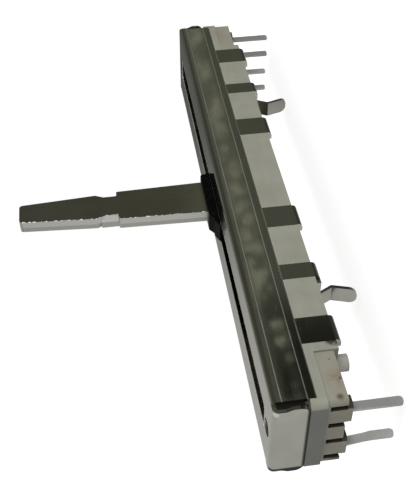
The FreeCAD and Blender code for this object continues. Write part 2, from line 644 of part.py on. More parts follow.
# Terminals: tinned blades, each with a lug bent inwards under the strip and pierced for its eyelet. One was
# bent in handling: below the base its blade is twisted and leans.
TWISTED = "terminal_near_rear"
for label, side, x, drop, way in TERMINALS:
    body = new_body(label)
    blade_y = "-(%spin_row)" % side
    blade_low = "block_low" if label == TWISTED else "-" + drop
    blade = drawn(body, label + "_blade", "XZ", rectangle(
        ("%s - pin_wide / 2" % x, "%s + pin_wide / 2" % x), (blade_low, "shoulder")), blade_y)
    upright = grown(body, "Pad", label + "_upright", blade, "pin_gauge", "Symmetric")
    lug_y = ordered(side, "eyelet_row - lug_wide / 2", "pin_row + pin_gauge / 2")
    lug = drawn(body, label + "_lug_outline", "XY", rectangle(lug_span(x, way, "0"), lug_y), "lug_under")
    plate = grown(body, "Pad", label + "_lug", lug, "pin_gauge")
    centre = eyelet_place(side, x, way)
    hole = circled(body, label + "_hole_outline", centre[0], centre[1], "eyelet_shank",
                   "lug_under + 2 * pin_gauge")
    whole = grown(body, "Pocket", label + "_hole", hole, "4 * pin_gauge")
    if label == TWISTED:
        straight = turned(body, label + "_straight_section", x, side + "pin_row", "block_low", "0")
        twisted = turned(body, label + "_twisted_section", "%s %s twist_lean" % (x, way), side + "pin_row",
                         "-twist_drop", "-twist_turn")
        twist = body.newObject("PartDesign::AdditiveLoft", label + "_twist")
        twist.Profile = straight
        twist.Sections = [(twisted, "")]
        twist.Ruled = True
        whole = grown(body, "Pad", label + "_end", twisted, drop + " - twist_drop", backwards=True)
    tipped = rounded(body, label + "_tip", whole, "pin_tip_radius", lambda edge, at:
                     at.z < -size(drop) + 1e-6 and edge.Length < size("pin_wide") - 1e-6)
    outer_y = size("pin_row") + size("pin_gauge") / 2
    rounded(body, label + "_bend", tipped, "lug_bend", lambda edge, at:
            parallel(edge, ACROSS) and abs(abs(at.y) - outer_y) < 1e-6 and at.z > size("shoulder") - 1e-6)
    piece(label, body)

# Element strip: laminated phenolic sheet with the printed tracks, held down by the eyelets.
strip_blank = block("strip_blank", ("-strip_half", "strip_half"),
                    ("-rim_inside + fit_gap", "rim_inside - fit_gap"), ("shoulder", "strip_top"))
strip_holes = []
for label, side, x, drop, way in TERMINALS:
    centre = eyelet_place(side, x, way)
    strip_holes.append(rod(label + "_strip_hole", centre[0], centre[1], ("shoulder - 1", "strip_top + 1"),
                           "eyelet_shank"))
piece("element_board", trimmed("strip_pierced", strip_blank, strip_holes))


def track(label, row, width):
    piece(label, block(label + "_print", ("-track_half", "track_half"),
                       ("%s - %s / 2" % (row, width), "%s + %s / 2" % (row, width)),
                       ("strip_top", "track_top")))


track("carbon_track_front", "-carbon_row", "carbon_wide")
track("carbon_track_rear", "carbon_row", "carbon_wide")
track("collector_track_front", "-collector_row", "collector_wide")
track("collector_track_rear", "collector_row", "collector_wide")

# Silver pads: printed round each eyelet and led to the end of a track.
def silver(name, x, y):
    front = block(name, x, ("-(%s)" % y[1], "-(%s)" % y[0]), ("strip_top", "track_top"))
    return [front, mirrored(name + "_rear", front, ALONG)]


carbon_edges = ("carbon_low", "carbon_high")
outer_eyelet = "pin_x - lug_shift"
inner_eyelet = "inner_pin_x - lug_shift"
round_eyelet = ("eyelet_row - pad_wide / 2", "eyelet_row + pad_wide / 2")
pads = silver("near_pad", ("-(%s) - pad_wide / 2" % outer_eyelet, "-(%s) + pad_wide / 2" % outer_eyelet),
              round_eyelet)
pads += silver("near_lead", ("-(%s) + pad_wide / 2" % outer_eyelet, "-track_half"), carbon_edges)
pads += silver("near_link", ("-(%s)" % outer_eyelet, "-(%s) + pad_wide / 2" % outer_eyelet),
               ("eyelet_row", carbon_edges[1]))
pads += silver("far_pad", (outer_eyelet + " - pad_wide / 2", outer_eyelet + " + pad_wide / 2"), round_eyelet)
pads += silver("far_link", (outer_eyelet + " - pad_wide / 2", outer_eyelet), ("eyelet_row", carbon_edges[1]))
pads += silver("far_lead", ("track_half", outer_eyelet + " - pad_wide / 2"),
               (carbon_edges[1] + " - lead_wide", carbon_edges[1]))
pads += silver("collector_pad", (inner_eyelet + " - pad_wide / 2", inner_eyelet + " + pad_wide / 2"),
               round_eyelet)
pads += silver("collector_lead", ("track_half", inner_eyelet),
               ("collector_row - collector_wide / 2", "collector_row + collector_wide / 2"))
pad_blank = joined("pad_blank", pads)
pad_holes = []
eyelet_parts = []
for label, side, x, drop, way in TERMINALS:
    centre = eyelet_place(side, x, way)
    pad_holes.append(rod(label + "_pad_hole", centre[0], centre[1], ("strip_top - 1", "track_top + 1"),
                         "eyelet_shank"))
    shank = rod(label + "_shank", centre[0], centre[1],
                ("lug_under - eyelet_gauge", "track_top + eyelet_gauge"),
                "eyelet_shank")
    upper = rod(label + "_upper_flange", centre[0], centre[1], ("track_top", "track_top + eyelet_gauge"),
                "eyelet_head")
    lower = rod(label + "_lower_flange", centre[0], centre[1], ("lug_under - eyelet_gauge", "lug_under"),
                "eyelet_head")
    eyelet_parts.append(joined(label + "_eyelet", [shank, upper, lower]))
piece("silver_end_pads", trimmed("pads_pierced", pad_blank, pad_holes))
eyelets = doc.addObject("Part::Compound", "eyelets")
eyelets.Links = eyelet_parts
piece("terminal_eyelets", eyelets)


# Slider: black moulding. Runners glide on the rim of the base, shoes glide under the cover, and the stem
# stands in the slot. Its low roof passes under the screw collars at the ends of the stroke.
def mirror_pair(name, front):
    return [front, mirrored(name, front, ALONG)]


slider_parts = [
    block("slider_plate", ("-slider_half", "slider_half"), ("-slider_side", "slider_side"),
          ("slider_floor", "slider_roof")),
    block("slider_collar", ("-stem_length / 2", "stem_length / 2"), ("-slider_side", "slider_side"),
          ("slider_roof - overlap", "slider_top")),
]
stem_side = "slot_width / 2 - stem_play"
stem = slab("stem", "XZ", [
    ("-stem_length / 2", "slider_top - overlap"), ("stem_length / 2", "slider_top - overlap"),
    ("stem_length / 2", "cover_top + stem_proud - stem_chamfer"),
    ("stem_length / 2 - stem_chamfer", "cover_top + stem_proud"),
    ("-stem_length / 2 + stem_ramp", "cover_top + stem_proud"), ("-stem_length / 2", "cover_top + overlap")],
    "-(%s)" % stem_side, stem_side)
slider_parts.append(stem)
slider_parts += mirror_pair("runner_rear", block(
    "runner", ("-slider_half", "slider_half"), ("-slider_side", "-slider_side + runner_wide"),
    ("runner_low", "slider_roof")))
slider_parts += mirror_pair("shoe_rear", block(
    "shoe", ("-slider_half", "slider_half"), ("-slider_side", "-slider_side + shoe_wide"),
    ("slider_roof - overlap", "slider_top")))
slider_cuts = [block("spring_pocket", ("-spring_half - fit_gap", "spring_half + fit_gap"),
                     ("slider_side - spring_pocket", "slider_side + 1"),
                     ("spring_low - fit_gap", "spring_low + spring_high + fit_gap"))]
slider_cuts.append(block("lever_socket", ("lever_shift - lever_root / 2", "lever_shift + lever_root / 2"),
                         ("-lever_gauge / 2", "lever_gauge / 2"),
                         ("lever_bottom", "cover_top + stem_proud + 1")))
stakes = []
for number, (side, way) in enumerate((("-", "front"), ("", "rear"))):
    for end in ("-", "+"):
        x = "contact_root + contact_plate / 2 %s stake_pitch / 2" % end
        tag = "%s_%s" % (way, "near" if end == "-" else "far")
        stakes.append(rod("stake_" + tag, x, side + "contact_row",
                          ("contact_under - stake_rise", "slider_floor + overlap"), "stake_diameter"))
        stakes.append(rod("stake_head_" + tag, x, side + "contact_row",
                          ("contact_under - stake_rise", "contact_under"), "stake_head"))
slider = trimmed("slider", joined("slider_solid", slider_parts + stakes), slider_cuts)
piece("carriage", slider)

# Lever: blanked from steel sheet and moulded into the slider. It narrows in a straight taper to a notch,
# widens over a short ramp, and tapers again to its tip.
lever = new_body("lever")
edge_points = [
    ("lever_root / 2", "lever_bottom"), ("lever_root / 2", "cover_top"),
    ("lever_waist / 2", "cover_top + notch_low"), ("notch_width / 2", "cover_top + notch_low"),
    ("notch_width / 2", "cover_top + notch_high"),
    ("shoulder_width / 2", "cover_top + notch_high + notch_ramp"),
    ("tip_width / 2", "lever_tip")]
lever_outline = [("lever_shift + " + half, z) for half, z in edge_points]
lever_outline += [("lever_shift - " + half, z) for half, z in reversed(edge_points)]
lever_sketch = drawn(lever, "lever_outline", "XZ", lever_outline)
lever_blank = grown(lever, "Pad", "lever_blank", lever_sketch, "lever_gauge", "Symmetric")
tip_soft = rounded(lever, "lever_tip_corners", lever_blank, "lever_corner", lambda edge, at:
                   parallel(edge, ALONG) and at.z > size("lever_tip") - 1e-6)
rounded(lever, "lever_notch_corners", tip_soft, "lever_corner / 2", lambda edge, at:
        parallel(edge, ALONG) and abs(at.z - size("cover_top") - size("notch_low")) < 1e-6)
piece("lever", lever)

# Contacts: phosphor bronze, staked under the slider. On each side one pair of fingers runs on the carbon
# track and one pair on its collector.
finger_rise = "contact_touch + contact_gauge"
for side, way in (("-", "front"), ("", "rear")):
    plate = block("contact_plate_" + way, ("contact_root", "contact_root + contact_plate"),
                  ordered(side, "contact_row - contact_width / 2", "contact_row + contact_width / 2"),
                  ("contact_under", "slider_floor"))
    fingers = []
    for row, middle in (("collector", "collector_row"), ("carbon", "carbon_row")):
        for number, step in (("first", "-"), ("second", "+")):
            y = "%s %s finger_pitch / 2" % (middle, step)
            fingers.append(slab("finger_%s_%s_%s" % (way, row, number), "XZ", [
                ("contact_root + finger_bend", "slider_floor"),
                ("contact_root - finger_bend", "slider_floor"),
                ("contact_root - finger_reach + finger_bend", finger_rise),
                ("contact_root - finger_reach - finger_bend", finger_rise),
                ("contact_root - finger_reach - finger_toe", finger_rise + " + finger_toe"),
                ("contact_root - finger_reach - finger_toe - contact_gauge", "contact_touch + finger_toe"),
                ("contact_root - finger_reach - finger_bend", "contact_touch"),
                ("contact_root - finger_reach + finger_bend", "contact_touch"),
                ("contact_root - finger_bend", "contact_under"),
                ("contact_root + finger_bend", "contact_under")],
                *ordered(side, y + " - finger_wide / 2", y + " + finger_wide / 2")))
    holes = [rod("contact_hole_%s_%s" % (way, end),
                 "contact_root + contact_plate / 2 %s stake_pitch / 2" % sign,
                 side + "contact_row", ("contact_under - 1", "slider_floor + 1"), "stake_diameter")
             for end, sign in (("near", "-"), ("far", "+"))]
    contact = trimmed("contact_" + way, joined("contact_blank_" + way, [plate] + fingers), holes)
    piece("wiper_" + way, contact)

# Drag spring: a bowed steel leaf in the rear side of the slider. It presses on the cover wall, which gives
# the lever its even drag.
spring = slab("leaf", "XY", [
    ("-spring_half", "slider_side - spring_pocket"),
    ("-spring_half / 3", "inside - spring_play - spring_gauge"),
    ("spring_half / 3", "inside - spring_play - spring_gauge"),
    ("spring_half", "slider_side - spring_pocket"),
    ("spring_half", "slider_side - spring_pocket + spring_gauge"),
    ("spring_half / 3", "inside - spring_play"),
    ("-spring_half / 3", "inside - spring_play"),
    ("-spring_half", "slider_side - spring_pocket + spring_gauge")],
    "spring_low", "spring_low + spring_high")
piece("friction_spring", spring)

doc.recompute()
for thing in doc.Objects:
    if "Invalid" in thing.State or "Error" in thing.State:
        raise RuntimeError("%s failed: %s" % (thing.Name, thing.State))
for shape in PIECES:
    if shape.Shape.isNull() or not shape.Shape.isValid():
        raise RuntimeError("%s has no valid solid" % shape.Label)

os.makedirs("parts", exist_ok=True)
for shape in PIECES:
    shape.Shape.exportStep("parts/%s.step" % shape.Label)
    print(shape.Label, len(shape.Shape.Solids), round(shape.Shape.Volume, 3))
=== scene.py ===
import json
import math

import bpy
from mathutils import Matrix, Vector


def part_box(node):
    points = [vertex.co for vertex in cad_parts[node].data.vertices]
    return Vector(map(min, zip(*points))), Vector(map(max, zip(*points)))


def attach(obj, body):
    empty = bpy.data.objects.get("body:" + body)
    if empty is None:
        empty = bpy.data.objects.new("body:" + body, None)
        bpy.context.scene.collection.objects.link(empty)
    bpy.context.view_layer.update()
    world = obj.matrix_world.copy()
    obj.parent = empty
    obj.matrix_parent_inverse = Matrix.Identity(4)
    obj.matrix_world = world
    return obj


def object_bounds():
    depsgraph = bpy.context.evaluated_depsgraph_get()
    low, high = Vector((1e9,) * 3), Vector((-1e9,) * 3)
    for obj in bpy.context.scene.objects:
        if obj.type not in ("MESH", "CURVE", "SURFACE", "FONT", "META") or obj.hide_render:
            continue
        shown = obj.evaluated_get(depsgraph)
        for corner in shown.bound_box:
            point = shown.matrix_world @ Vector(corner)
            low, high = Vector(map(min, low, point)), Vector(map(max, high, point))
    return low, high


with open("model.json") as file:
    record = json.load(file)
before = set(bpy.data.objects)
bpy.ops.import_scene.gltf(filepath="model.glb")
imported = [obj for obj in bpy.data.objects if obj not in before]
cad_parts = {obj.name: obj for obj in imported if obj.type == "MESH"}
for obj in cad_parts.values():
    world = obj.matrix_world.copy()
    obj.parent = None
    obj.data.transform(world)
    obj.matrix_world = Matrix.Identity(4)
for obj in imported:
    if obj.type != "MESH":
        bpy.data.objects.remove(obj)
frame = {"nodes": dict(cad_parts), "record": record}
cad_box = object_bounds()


# Base: one injection moulding in off-white filled plastic. It carries the element strip on its shoulder,
# and the cover's tabs lie in channels down its sides. Its near end is tinted brown low down. Painted shade
# darkens its comb slots and the face of its near end band, and painted light brightens the peg under it.
class Signal:
    """A shader socket that can stand in a sum, where each operator adds a Math node."""

    def __init__(self, tree, socket):
        self.tree = tree
        self.socket = socket

    def node(self, kind, settings, inputs, output=0):
        """Add a node, make its settings, then feed its inputs, and return one output."""
        made = self.tree.nodes.new(kind)
        for name, value in settings.items():
            setattr(made, name, value)
        for name, value in inputs.items():
            if isinstance(value, Signal):
                self.tree.links.new(value.socket, made.inputs[name])
            else:
                made.inputs[name].default_value = value
        return Signal(self.tree, made.outputs[output])

    def maths(self, operation, *values):
        return self.node("ShaderNodeMath", {"operation": operation}, dict(enumerate(values)))

    def __add__(self, other):
        return self.maths("ADD", self, other)

    __radd__ = __add__

    def __sub__(self, other):
        return self.maths("SUBTRACT", self, other)

    def __rsub__(self, other):
        return self.maths("SUBTRACT", other, self)

    def __mul__(self, other):
        return self.maths("MULTIPLY", self, other)

    __rmul__ = __mul__

    def __abs__(self):
        return self.maths("ABSOLUTE", self)

    def fade(self, low, high):
        """0 at the first value, 1 at the second, and smooth between."""
        return self.node("ShaderNodeMapRange", {"interpolation_type": "SMOOTHSTEP"},
                         {"Value": self, "From Min": low, "From Max": high})

    def colour(self, first, second):
        """First colour where this is 0, second where it is 1."""
        return self.node("ShaderNodeMix", {"data_type": "RGBA"}, {0: self, 6: first, 7: second}, 2)

    def ramp(self, stops):
        """Value between (place, value) stops."""
        curve = self.tree.nodes.new("ShaderNodeFloatCurve")
        low, high = stops[0][0], stops[-1][0]
        points = curve.mapping.curves[0].points
        for index, (at, value) in enumerate(stops):
            share = (at - low) / (high - low)
            if index in (0, len(stops) - 1):
                points[0 if index == 0 else len(points) - 1].location = (share, value)
            else:
                points.new(share, value)
        curve.mapping.update()
        share = self.node("ShaderNodeMapRange", {}, {"Value": self, "From Min": low, "From Max": high})
        self.tree.links.new(share.socket, curve.inputs["Value"])
        return Signal(self.tree, curve.outputs[0])

    def stretched(self, x, y, z):
        return self.node("ShaderNodeMapping", {}, {"Vector": self, "Scale": (x, y, z)})

    def grain(self, scale, detail=3.0, rough=0.55):
        """Soft noise on this place, with so many spots a millimetre."""
        return self.node("ShaderNodeTexNoise", {}, {
            "Vector": self, "Scale": scale, "Detail": detail, "Roughness": rough})

    def near(self, x, y, z, reach):
        """1 at a place in millimetres, 0 beyond its reach."""
        away = self.node("ShaderNodeVectorMath", {"operation": "DISTANCE"}, {0: self, 1: (x, y, z)}, 1)
        return 1 - away.fade(0.0, reach)

    def axes(self):
        parts = self.tree.nodes.new("ShaderNodeSeparateXYZ")
        self.tree.links.new(self.socket, parts.inputs[0])
        return [Signal(self.tree, part) for part in parts.outputs]


class Finish:
    """A surface finish. Its place is the object's own coordinates in millimetres."""

    def __init__(self, name, **constants):
        self.material = bpy.data.materials.new(name)
        self.material.use_nodes = True
        tree = self.material.node_tree
        self.shader = tree.nodes["Principled BSDF"]
        for label, value in constants.items():
            self.shader.inputs[label.replace("_", " ")].default_value = value
        source = tree.nodes.new("ShaderNodeTexCoord")
        self.place = Signal(tree, source.outputs["Object"]).stretched(1000, 1000, 1000)

    def feed(self, **signals):
        for label, signal in signals.items():
            signal.tree.links.new(signal.socket, self.shader.inputs[label.replace("_", " ")])

    def relief(self, height, depth_mm, strength=1.0):
        """Raise the surface where the height is 1."""
        self.feed(Normal=height.node("ShaderNodeBump", {}, {
            "Height": height, "Distance": depth_mm / 1000, "Strength": strength}))

    def dress(self, *nodes):
        for node in nodes:
            frame["nodes"][node].material_slots[0].material = self.material


comb_pitch = 2.25
comb_slot = 0.6
comb_floor = 28.3
comb_mouth = 29.66
comb_top = 2.4
band_face = 29.97
band_underside = 2.6
peg_foot = (-22.6, 0.0, -0.4)
front_wall = -4.3
soft_edge = 0.05
moulding = Finish("off_white_moulding", Subsurface_Weight=0.05, Subsurface_Radius=(0.0006, 0.0005, 0.0004),
                  Specular_IOR_Level=0.4)
spot = moulding.place
x, y, z = spot.axes()
cloud = spot.grain(0.35, 4.0)
flow = spot.stretched(0.12, 0.8, 0.8).grain(1.0, 3.0)
plain = cloud.fade(0.3, 0.75).colour((0.33, 0.335, 0.275, 1), (0.285, 0.285, 0.228, 1))
plain = (flow.fade(0.45, 0.8) * 0.5).colour(plain, (0.36, 0.36, 0.3, 1))
near_end_tint = (1 - x.fade(-25.6, -24.0)) * (1 - z.fade(1.8, 2.7)) * (0.1 + 0.35 * cloud)
far_stain = spot.near(27.5, front_wall, 2.3, 2.6) * 0.5
smear = spot.near(-27.3, front_wall, 1.35, 1.5) * spot.grain(1.3, 2.0).fade(0.3, 0.7) * 0.7
specks = spot.near(-29.2, front_wall, 1.6, 0.5) + spot.near(-27.4, front_wall, 1.15, 0.22)
specks = (specks + spot.near(-25.35, front_wall, 1.55, 0.14)) * 0.85
tinted = near_end_tint.colour(plain, (0.29, 0.235, 0.17, 1))
tinted = far_stain.colour(tinted, (0.28, 0.22, 0.17, 1))
tinted = smear.colour(tinted, (0.22, 0.15, 0.09, 1))
tinted = specks.maths("MINIMUM", specks, 1.0).colour(tinted, (0.07, 0.04, 0.025, 1))
grime = spot.near(-23.3, -4.45, 0.75, 1.3).fade(0.1, 0.6) * spot.grain(1.6, 3.0).fade(0.35, 0.5)
grime = grime + spot.near(-29.8, 4.3, 1.3, 1.4).fade(0.1, 0.7) * 0.8
tinted = grime.colour(tinted, (0.05, 0.045, 0.035, 1))
# Painted shade: the face of the near end band is darkened, as it lies in shade.
in_shade = (1 - x.fade(-band_face - 0.025, -band_face)) * z.fade(band_underside, band_underside + soft_edge)
tinted = (in_shade * 0.75).colour(tinted, (0.15, 0.15, 0.145, 1))
# Painted light: the peg under the base is lightened, as if lit from below by the floor.
painted_peg_light = spot.near(*peg_foot, 1.8).fade(0.0, 0.5)
tinted = painted_peg_light.colour(tinted, (0.62, 0.62, 0.56, 1))
# Painted shade: the comb slots are darkened inside, where shade falls in them.
comb_place = y * (1 / comb_pitch)
comb_middle = abs(comb_place.maths("FRACT", comb_place) - 0.5) * comb_pitch
painted_comb_shade = 1 - comb_middle.fade(comb_slot / 2, comb_slot / 2 + soft_edge)
painted_comb_shade = painted_comb_shade * (1 - z.fade(comb_top, comb_top + soft_edge))
painted_comb_shade = painted_comb_shade * abs(x).fade(comb_floor, comb_floor + soft_edge)
painted_comb_shade = painted_comb_shade * (1 - abs(x).fade(comb_mouth, comb_mouth + 0.03))
tinted = (painted_comb_shade * 0.92).colour(tinted, (0.035, 0.028, 0.02, 1))
moulding.feed(Base_Color=tinted, Roughness=0.44 + 0.12 * cloud)
moulding.relief(spot.grain(9.0, 3.0) * 0.6 + spot.grain(40.0, 2.0) * 0.4, 0.006)
moulding.dress("base_moulding")

# Terminals: six flat blades, blanked from brass strip, bent and given a matt tin plate. Faint lines run
# down each blade. Their lugs lie under the element strip and are held there by the eyelets.
tin = Finish("matt_tin_plate", Metallic=0.85)
spot = tin.place
crystals = spot.grain(6.0, 4.0, 0.6)
lines = spot.stretched(9.0, 9.0, 0.5).grain(1.0, 2.0)
tin.feed(Base_Color=crystals.fade(0.2, 0.8).colour((0.70, 0.70, 0.685, 1), (0.62, 0.62, 0.605, 1)),
         Roughness=0.42 + 0.12 * crystals + 0.1 * lines)
tin.relief(crystals * 0.3 + lines * 0.7, 0.0015)
pins = [node for node in frame["nodes"] if node.startswith("terminal_") and node != "terminal_eyelets"]
tin.dress(*pins)

# Eyelets: six small brass rivets with a thin tin plate that has worn in places. Each clamps the lug of a
# terminal to the underside of the strip and its silver pad.
eyelet = Finish("tinned_brass", Metallic=1.0)
spot = eyelet.place
worn = spot.grain(5.0, 4.0)
eyelet.feed(Base_Color=worn.fade(0.35, 0.65).colour((0.30, 0.295, 0.28, 1), (0.22, 0.20, 0.16, 1)),
            Roughness=0.28 + 0.22 * worn)
eyelet.relief(worn, 0.006)
eyelet.dress("terminal_eyelets")

# Element strip: paper laminate with a brown varnish, punched to size. Its fibres show as short streaks
# along it. Its brown is painted darker than the board, as painted shade under the cover, and painted shade
# makes it near black towards its cut ends. The eyelets and the rim of the base hold it.
strip_end = 25.5
laminate = Finish("brown_laminate", Coat_Weight=0.15, Coat_Roughness=0.3)
spot = laminate.place
fibres = spot.stretched(0.6, 5.0, 5.0).grain(1.0, 5.0, 0.65)
# Painted shade: the brown is darker than the board is, for the shade under the cover, and goes near black
# towards the ends, under the cover's corners.
painted_end_shade = abs(spot.axes()[0]).fade(strip_end - 2, strip_end)
tone = fibres.fade(0.25, 0.8).colour((0.09, 0.05, 0.02, 1), (0.16, 0.10, 0.045, 1))
laminate.feed(Base_Color=painted_end_shade.colour(tone, (0.02, 0.015, 0.01, 1)), Roughness=0.4 + 0.2 * fibres)
laminate.relief(fibres, 0.01)
laminate.dress("element_board")

# Tracks: carbon ink and silver ink, screen printed and baked. The contacts have polished a few fine lines
# along each carbon track.
carbon = Finish("printed_carbon", Specular_IOR_Level=0.35)
spot = carbon.place
mesh_marks = spot.grain(12.0, 3.0)
rubbed = spot.stretched(0.02, 7.0, 0.0).grain(1.0, 2.0).fade(0.5, 0.68)
ink = (mesh_marks * 0.6 + rubbed * 0.4).colour((0.012, 0.012, 0.013, 1), (0.045, 0.045, 0.048, 1))
carbon.feed(Base_Color=ink, Roughness=0.55 - 0.25 * rubbed)
carbon.relief(mesh_marks, 0.008)
carbon.dress("carbon_track_front", "carbon_track_rear")

silver = Finish("printed_silver", Metallic=0.7)
spot = silver.place
flakes = spot.grain(14.0, 4.0, 0.65)
dull = spot.grain(0.8, 3.0)
silver.feed(Base_Color=dull.fade(0.3, 0.7).colour((0.58, 0.565, 0.53, 1), (0.42, 0.40, 0.36, 1)),
            Roughness=0.42 + 0.25 * flakes)
silver.relief(flakes, 0.01)
silver.dress("collector_track_front", "collector_track_rear", "silver_end_pads")

# Cover: one steel sheet, blanked, folded and nickel plated bright, with its tabs crimped under the base. It
# has fine rolling lines, two faint draw lines along each wall, light rub marks and grey shear on its cut
# edges.
# A painted highlight lines the rim of the slot. Painted shade darkens the rim of the near end flap, where it
# meets the base, and a painted glint whitens the flap's upper front corner.
wall_middle = 5.3
draw_line_offset = 1.05
wall_foot = 3.5
wall_face = 4.5
slot_half_width = 1.25
slot_half_length = 27.2
cover_top = 7.2
flap_foot = 4.15
flap_back = -29.65
glint_place = (-29.85, -3.85, 6.95)
nickel = Finish("bright_nickel", Metallic=1.0)
spot = nickel.place
x, y, z = spot.axes()
rolling = spot.stretched(0.05, 14.0, 14.0).grain(1.0, 3.0, 0.6)
waves = spot.stretched(0.22, 0.5, 0.5).grain(1.0, 2.0)
handled = spot.grain(0.28, 5.0, 0.6).fade(0.45, 0.7)
scuffs = spot.stretched(0.35, 9.0, 9.0).grain(1.0, 5.0, 0.7).fade(0.66, 0.72)
wall = abs(y).fade(wall_face - 0.08, wall_face - 0.03)
draw_line = (1 - abs(abs(z - wall_middle) - draw_line_offset).fade(0.0, 0.09)) * wall
cut_edge = (1 - z.fade(wall_foot + 0.06, wall_foot + 0.12)) * wall * z.fade(wall_foot - 0.1, wall_foot)
tone = (handled * 0.6 + rolling * 0.4).colour((0.66, 0.645, 0.60, 1), (0.58, 0.565, 0.515, 1))
tone = (draw_line * 0.9 + scuffs * 0.35).colour(tone, (0.92, 0.91, 0.87, 1))
# Painted shade: the rim of the near end flap is darkened where it meets the base.
low_rim = 1 - z.fade(flap_foot + 0.07, flap_foot + 0.33)
on_flap = 1 - x.fade(flap_back - 0.05, flap_back + 0.05)
painted_flap_rim_shade = low_rim.maths("MAXIMUM", low_rim, y.fade(3.7, 3.95)) * on_flap
tone = (painted_flap_rim_shade * 0.95).colour(tone, (0.02, 0.02, 0.018, 1))
# Painted highlight: a pale rim round the slot, where its edge would catch the light.
painted_slot_highlight = 1 - abs(y).fade(slot_half_width + 0.03, slot_half_width + 0.08)
painted_slot_highlight = painted_slot_highlight * z.fade(cover_top - 0.1, cover_top - 0.05)
painted_slot_highlight = painted_slot_highlight * (1 - abs(x).fade(slot_half_length, slot_half_length + 0.1))
tone = painted_slot_highlight.colour(tone, (0.9, 0.9, 0.86, 1))
# Painted glint: a white spot on the upper front corner of the near end flap.
painted_corner_glint = spot.near(*glint_place, 0.42).fade(0.1, 0.5)
tone = painted_corner_glint.colour(tone, (1.0, 1.0, 1.0, 1))
dulled = 0.35 * draw_line + 0.18 * scuffs + 0.3 * cut_edge + 0.45 * painted_slot_highlight
nickel.feed(Base_Color=tone, Roughness=0.07 + 0.05 * rolling + 0.09 * handled + dulled)
nickel.relief(waves * 0.75 + rolling * 0.08 + draw_line * 0.12 - scuffs * 0.05, 0.05, 0.6)
nickel.dress("cover")


# Threads: the two M2 screw holes are tapped through the cover and the collars that are drawn down from it,
# 0.4 mm pitch. Each ridge is as bright as the plate and stands a little proud of the core bore.
def thread_tree():
    """Geometry nodes: a ridge wound on a helix."""
    tree = bpy.data.node_groups.new("tapped_thread", "GeometryNodeTree")
    face = tree.interface
    for name, kind in (("Radius", "Float"), ("Pitch", "Float"), ("Turns", "Float"), ("Ridge", "Float"),
                       ("Place", "Vector"), ("Finish", "Material")):
        face.new_socket(name, in_out="INPUT", socket_type="NodeSocket" + kind)
    face.new_socket("Geometry", in_out="OUTPUT", socket_type="NodeSocketGeometry")
    nodes = tree.nodes
    links = tree.links
    given = nodes.new("NodeGroupInput").outputs
    helix = nodes.new("GeometryNodeCurveSpiral")
    helix.inputs["Resolution"].default_value = 40
    links.new(given["Turns"], helix.inputs["Rotations"])
    links.new(given["Radius"], helix.inputs["Start Radius"])
    links.new(given["Radius"], helix.inputs["End Radius"])
    height = nodes.new("ShaderNodeMath")
    height.operation = "MULTIPLY"
    links.new(given["Pitch"], height.inputs[0])
    links.new(given["Turns"], height.inputs[1])
    links.new(height.outputs[0], helix.inputs["Height"])
    section = nodes.new("GeometryNodeCurvePrimitiveCircle")
    section.inputs["Resolution"].default_value = 3
    links.new(given["Ridge"], section.inputs["Radius"])
    sweep = nodes.new("GeometryNodeCurveToMesh")
    sweep.inputs["Fill Caps"].default_value = True
    links.new(helix.outputs["Curve"], sweep.inputs["Curve"])
    links.new(section.outputs["Curve"], sweep.inputs["Profile Curve"])
    move = nodes.new("GeometryNodeTransform")
    links.new(sweep.outputs["Mesh"], move.inputs["Geometry"])
    links.new(given["Place"], move.inputs["Translation"])
    solid = nodes.new("GeometryNodeRealizeInstances")
    links.new(move.outputs["Geometry"], solid.inputs["Geometry"])
    coated = nodes.new("GeometryNodeSetMaterial")
    links.new(solid.outputs["Geometry"], coated.inputs["Geometry"])
    links.new(given["Finish"], coated.inputs["Material"])
    links.new(coated.outputs["Geometry"], nodes.new("NodeGroupOutput").inputs["Geometry"])
    return tree


def in_scene(name, data):
    """Object with this data, put in the scene."""
    made = bpy.data.objects.new(name, data)
    bpy.context.scene.collection.objects.link(made)
    return made


def grown_mesh(name, tree, values, points=(), edges=()):
    """Plain mesh made from some points and edges by a tree of geometry nodes with these inputs."""
    seed = bpy.data.meshes.new(name + "_seed")
    seed.from_pydata(points, edges, [])
    maker = in_scene(name + "_maker", seed)
    modifier = maker.modifiers.new("grow", "NODES")
    modifier.node_group = tree
    for item in tree.interface.items_tree:
        if item.in_out == "INPUT" and item.name in values:
            modifier[item.identifier] = values[item.name]
    graph = bpy.context.evaluated_depsgraph_get()
    mesh = bpy.data.meshes.new_from_object(maker.evaluated_get(graph))
    bpy.data.objects.remove(maker)
    return in_scene(name, mesh)


cover_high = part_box("cover")[1]
screws = next(mount for mount in frame["record"]["mounts"] if mount["name"] == "panel_screws")
screw_x = screws["dims"]["spacing_x_mm"] / 2000
core_radius = screws["dims"]["hole_r_mm"] / 1000
thread_pitch = 0.0004
thread_turns = 2.0
thread_ridge = 0.00008
threads = thread_tree()
for end, side in (("near", -1), ("far", 1)):
    thread = grown_mesh("screw_thread_" + end, threads, {
        "Radius": core_radius, "Pitch": thread_pitch, "Turns": thread_turns, "Ridge": thread_ridge,
        "Place": (side * screw_x, 0.0, cover_high.z - thread_pitch * thread_turns - thread_ridge),
        "Finish": nickel.material})
    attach(thread, "housing")

# Slider: black acetal moulding with a soft sheen. The cover has polished its shoes and the sides of its
# stem, and a little grey dust lies on it.
rubbed_from = 6.65
rubbed_to = 6.78
acetal = Finish("black_acetal", Specular_IOR_Level=0.04)
spot = acetal.place
dust = spot.grain(1.6, 5.0, 0.65).fade(0.5, 0.75)
rubbed = spot.axes()[2].fade(rubbed_from, rubbed_to)
acetal.feed(Base_Color=(dust * 0.5).colour((0.003, 0.003, 0.003, 1), (0.012, 0.012, 0.011, 1)),
            Roughness=0.42 + 0.2 * dust - 0.18 * rubbed)
acetal.relief(spot.grain(10.0, 3.0), 0.008)
acetal.dress("carriage")


